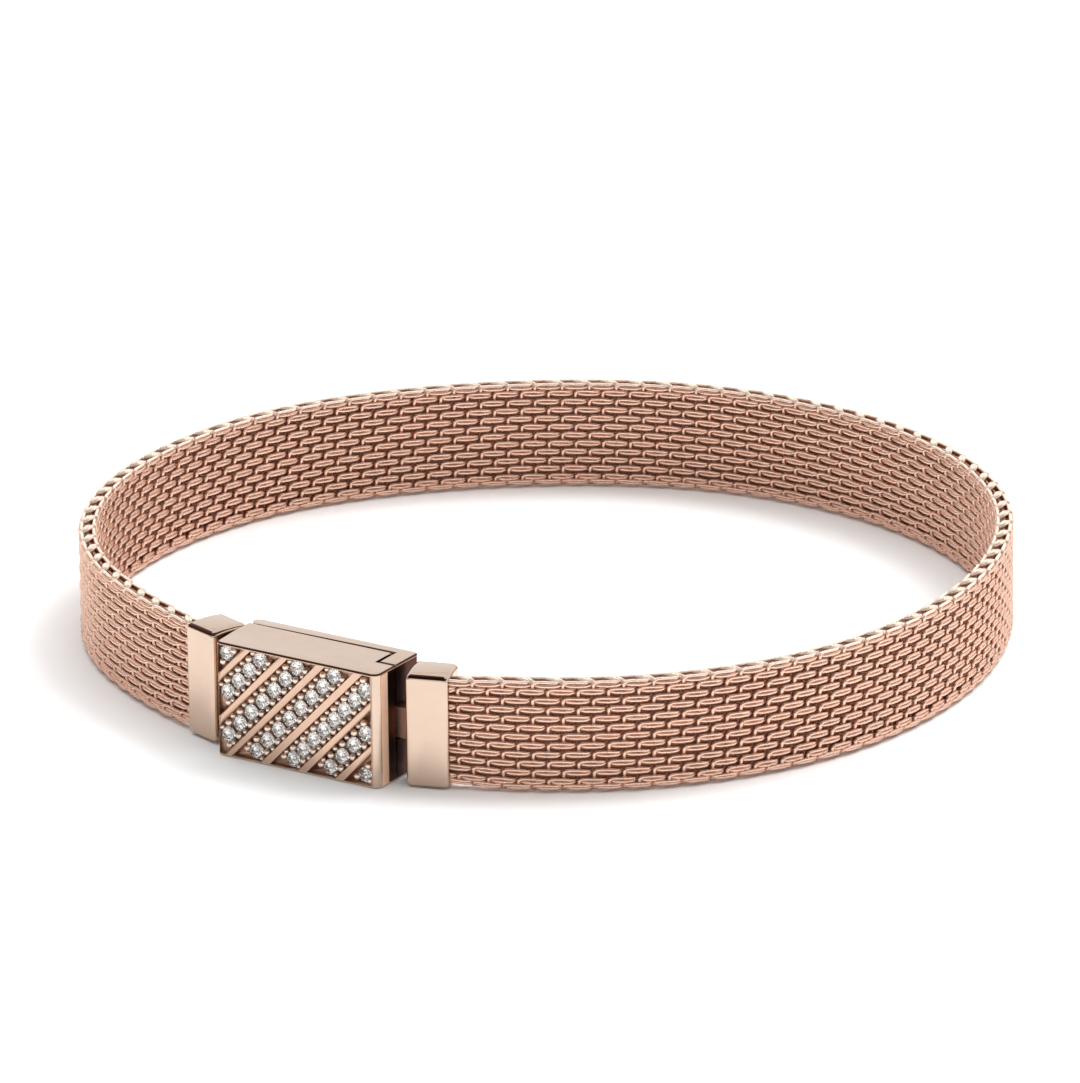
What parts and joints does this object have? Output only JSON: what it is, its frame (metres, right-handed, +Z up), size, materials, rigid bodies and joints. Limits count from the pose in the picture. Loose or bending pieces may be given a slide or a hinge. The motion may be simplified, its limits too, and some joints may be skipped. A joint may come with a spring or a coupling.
{
  "type": "mesh bracelet",
  "caption": "Rose gold woven mesh bracelet closed by a rectangular box clasp whose front is set with clear round stones in slanting channels.",
  "frame": {"origin": "on the table under the middle of the lying bracelet's footprint", "axes": "+Z up out of the table and across the band; -Y out of the clasp's stone face; +X towards the end cap on the viewer's right when the stone face is looked at"},
  "size_m": [0.0648, 0.0642, 0.0082],
  "materials": {
    "woven_metal": "woven rose gold plated wire, polished",
    "polished_metal": "polished rose gold plating with fine hairline scratches",
    "stone": "clear, brilliant cut and polished"
  },
  "bodies": {
    "bracelet": {"mesh_band": "woven_metal", "left_end_cap": "polished_metal", "right_end_cap": "polished_metal", "left_link": "polished_metal", "tongue": "polished_metal", "clasp_box": "polished_metal", "hinge_pin": "polished_metal", "stone_01": "stone", "stone_02": "stone", "stone_03": "stone", "stone_04": "stone", "stone_05": "stone", "stone_06": "stone", "stone_07": "stone", "stone_08": "stone", "stone_09": "stone", "stone_10": "stone", "stone_11": "stone", "stone_12": "stone", "stone_13": "stone", "stone_14": "stone", "stone_15": "stone", "stone_16": "stone", "stone_17": "stone", "stone_18": "stone", "stone_19": "stone", "stone_20": "stone", "stone_21": "stone", "stone_22": "stone", "stone_23": "stone", "stone_24": "stone", "stone_25": "stone", "stone_26": "stone", "stone_27": "stone", "stone_28": "stone", "stone_29": "stone", "stone_30": "stone", "stone_31": "stone", "stone_32": "stone", "stone_33": "stone"},
    "lid": {"clasp_lid": "polished_metal"}
  },
  "joints": [
    {"name": "lid_hinge", "type": "hinge", "parent": "bracelet", "child": "lid", "pos_m": [-0.00562, -0.02726, 0.0041], "axis": [0, 0, 1], "range_deg": [0, 100]}
  ]
}
